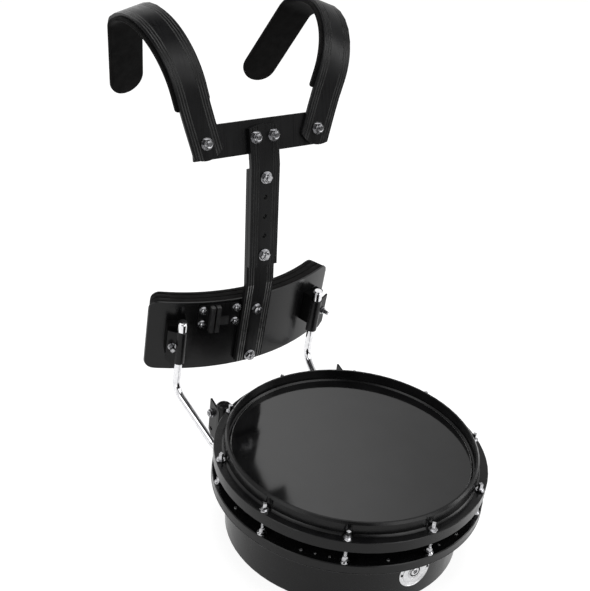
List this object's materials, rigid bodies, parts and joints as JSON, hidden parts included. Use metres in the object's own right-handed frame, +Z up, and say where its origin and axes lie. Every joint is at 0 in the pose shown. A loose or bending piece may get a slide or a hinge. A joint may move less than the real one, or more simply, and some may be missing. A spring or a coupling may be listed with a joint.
{
  "type": "marching snare drum",
  "caption": "Single-headed marching snare drum held on bent rods by a shoulder carrier with a padded belly plate, a centre bar and swinging padded shoulder arms.",
  "frame": {"origin": "on the floor plane under the middle of the whole object's bounding box; the drum's axis stands at X 0, Y -0.176", "axes": "+Z up along the drum's axis, +Y from the drum towards the player's back (the longest extent), +X to the right as seen from the drum's front"},
  "size_m": [0.4048, 0.756, 0.6771],
  "materials": {
    "shell": "black lacquer, satin gloss",
    "head": "smooth black film",
    "hoop": "black powder coat, satin",
    "carrier_metal": "black coated, satin",
    "chrome_parts": "polished",
    "snare_wire": "bright wire",
    "plastic": "moulded black",
    "foam": "black foam with a smooth skin"
  },
  "bodies": {
    "drum": {"shell": "shell", "batter_head": "head", "top_hoop": "hoop", "lug_ring": "hoop", "rod_nut_01": "chrome_parts", "rod_nut_02": "chrome_parts", "rod_nut_03": "chrome_parts", "rod_nut_04": "chrome_parts", "rod_nut_05": "chrome_parts", "rod_nut_06": "chrome_parts", "rod_nut_07": "chrome_parts", "rod_nut_08": "chrome_parts", "rod_nut_09": "chrome_parts", "rod_nut_10": "chrome_parts", "snare_wires": "snare_wire", "snare_bracket_front": "hoop", "snare_bracket_rear": "hoop", "receiver_left": "hoop", "receiver_right": "hoop", "receiver_bushing_left": "plastic", "receiver_bushing_right": "plastic"},
    "tension_rod_01": {"tension_rod_01": "chrome_parts"},
    "tension_rod_02": {"tension_rod_02": "chrome_parts"},
    "tension_rod_03": {"tension_rod_03": "chrome_parts"},
    "tension_rod_04": {"tension_rod_04": "chrome_parts"},
    "tension_rod_05": {"tension_rod_05": "chrome_parts"},
    "tension_rod_06": {"tension_rod_06": "chrome_parts"},
    "tension_rod_07": {"tension_rod_07": "chrome_parts"},
    "tension_rod_08": {"tension_rod_08": "chrome_parts"},
    "tension_rod_09": {"tension_rod_09": "chrome_parts"},
    "tension_rod_10": {"tension_rod_10": "chrome_parts"},
    "snare_knob": {"snare_knob": "plastic"},
    "receiver_screw_left": {"receiver_screw_left": "chrome_parts"},
    "receiver_screw_right": {"receiver_screw_right": "chrome_parts"},
    "j_rods": {"j_rod_left": "chrome_parts", "j_rod_right": "chrome_parts"},
    "carrier": {"belly_plate": "carrier_metal", "belly_pad": "foam", "clamp_base_left": "plastic", "clamp_base_right": "plastic", "clamp_plate_left": "hoop", "clamp_plate_right": "hoop", "accessory_bracket": "carrier_metal", "lower_bar": "carrier_metal", "upper_bar": "carrier_metal", "crossbar": "carrier_metal", "plate_bolt_upper": "chrome_parts", "plate_bolt_lower": "chrome_parts", "bar_bolt_upper": "chrome_parts", "bar_bolt_lower": "chrome_parts", "crossbar_bolt_left": "chrome_parts", "crossbar_bolt_right": "chrome_parts", "arm_bolt_left": "chrome_parts", "arm_bolt_right": "chrome_parts"},
    "clamp_screw_left": {"clamp_screw_left": "chrome_parts"},
    "clamp_screw_right": {"clamp_screw_right": "chrome_parts"},
    "arm_left": {"shoulder_arm_left": "carrier_metal", "shoulder_pad_left": "foam"},
    "arm_right": {"shoulder_arm_right": "carrier_metal", "shoulder_pad_right": "foam"}
  },
  "joints": [
    {"name": "tension_rod_01_turn", "type": "hinge", "parent": "drum", "child": "tension_rod_01", "pos_m": [0, -0.37083, 0.12], "axis": [0, 0, 1], "continuous": true},
    {"name": "tension_rod_02_turn", "type": "hinge", "parent": "drum", "child": "tension_rod_02", "pos_m": [0.11462, -0.33359, 0.12], "axis": [0, 0, 1], "continuous": true},
    {"name": "tension_rod_03_turn", "type": "hinge", "parent": "drum", "child": "tension_rod_03", "pos_m": [0.18546, -0.23609, 0.12], "axis": [0, 0, 1], "continuous": true},
    {"name": "tension_rod_04_turn", "type": "hinge", "parent": "drum", "child": "tension_rod_04", "pos_m": [0.18546, -0.11557, 0.12], "axis": [0, 0, 1], "continuous": true},
    {"name": "tension_rod_05_turn", "type": "hinge", "parent": "drum", "child": "tension_rod_05", "pos_m": [0.11462, -0.01807, 0.12], "axis": [0, 0, 1], "continuous": true},
    {"name": "tension_rod_06_turn", "type": "hinge", "parent": "drum", "child": "tension_rod_06", "pos_m": [0, 0.01917, 0.12], "axis": [0, 0, 1], "continuous": true},
    {"name": "tension_rod_07_turn", "type": "hinge", "parent": "drum", "child": "tension_rod_07", "pos_m": [-0.11462, -0.01807, 0.12], "axis": [0, 0, 1], "continuous": true},
    {"name": "tension_rod_08_turn", "type": "hinge", "parent": "drum", "child": "tension_rod_08", "pos_m": [-0.18546, -0.11557, 0.12], "axis": [0, 0, 1], "continuous": true},
    {"name": "tension_rod_09_turn", "type": "hinge", "parent": "drum", "child": "tension_rod_09", "pos_m": [-0.18546, -0.23609, 0.12], "axis": [0, 0, 1], "continuous": true},
    {"name": "tension_rod_10_turn", "type": "hinge", "parent": "drum", "child": "tension_rod_10", "pos_m": [-0.11462, -0.33359, 0.12], "axis": [0, 0, 1], "continuous": true},
    {"name": "snare_knob_turn", "type": "hinge", "parent": "drum", "child": "snare_knob", "pos_m": [0.07321, -0.34027, 0.066], "axis": [0.4067, -0.9135, 0], "continuous": true},
    {"name": "receiver_screw_left_turn", "type": "hinge", "parent": "drum", "child": "receiver_screw_left", "pos_m": [-0.12055, 0.02532, 0.109], "axis": [-1, 0, 0], "continuous": true},
    {"name": "receiver_screw_right_turn", "type": "hinge", "parent": "drum", "child": "receiver_screw_right", "pos_m": [0.12055, 0.02532, 0.109], "axis": [1, 0, 0], "continuous": true},
    {"name": "drum_off_rods", "type": "slide", "parent": "drum", "child": "j_rods", "axis": [0, 0, 1], "range_m": [-0.06, 0.005]},
    {"name": "carrier_height", "type": "slide", "parent": "j_rods", "child": "carrier", "axis": [0, -0.1045, 0.9945], "range_m": [-0.03, 0]},
    {"name": "clamp_screw_left_turn", "type": "hinge", "parent": "carrier", "child": "clamp_screw_left", "pos_m": [-0.14217, 0.12655, 0.1787], "axis": [-0.3405, -0.9351, -0.0983], "continuous": true},
    {"name": "clamp_screw_right_turn", "type": "hinge", "parent": "carrier", "child": "clamp_screw_right", "pos_m": [0.14217, 0.12655, 0.1787], "axis": [0.3405, -0.9351, -0.0983], "continuous": true},
    {"name": "arm_left_swing", "type": "hinge", "parent": "carrier", "child": "arm_left", "pos_m": [-0.0965, 0.13376, 0.50915], "axis": [0, -0.9659, 0.2588], "range_deg": [-15, 12]},
    {"name": "arm_right_swing", "type": "hinge", "parent": "carrier", "child": "arm_right", "pos_m": [0.0965, 0.13376, 0.50915], "axis": [0, -0.9659, 0.2588], "range_deg": [-12, 15]}
  ]
}
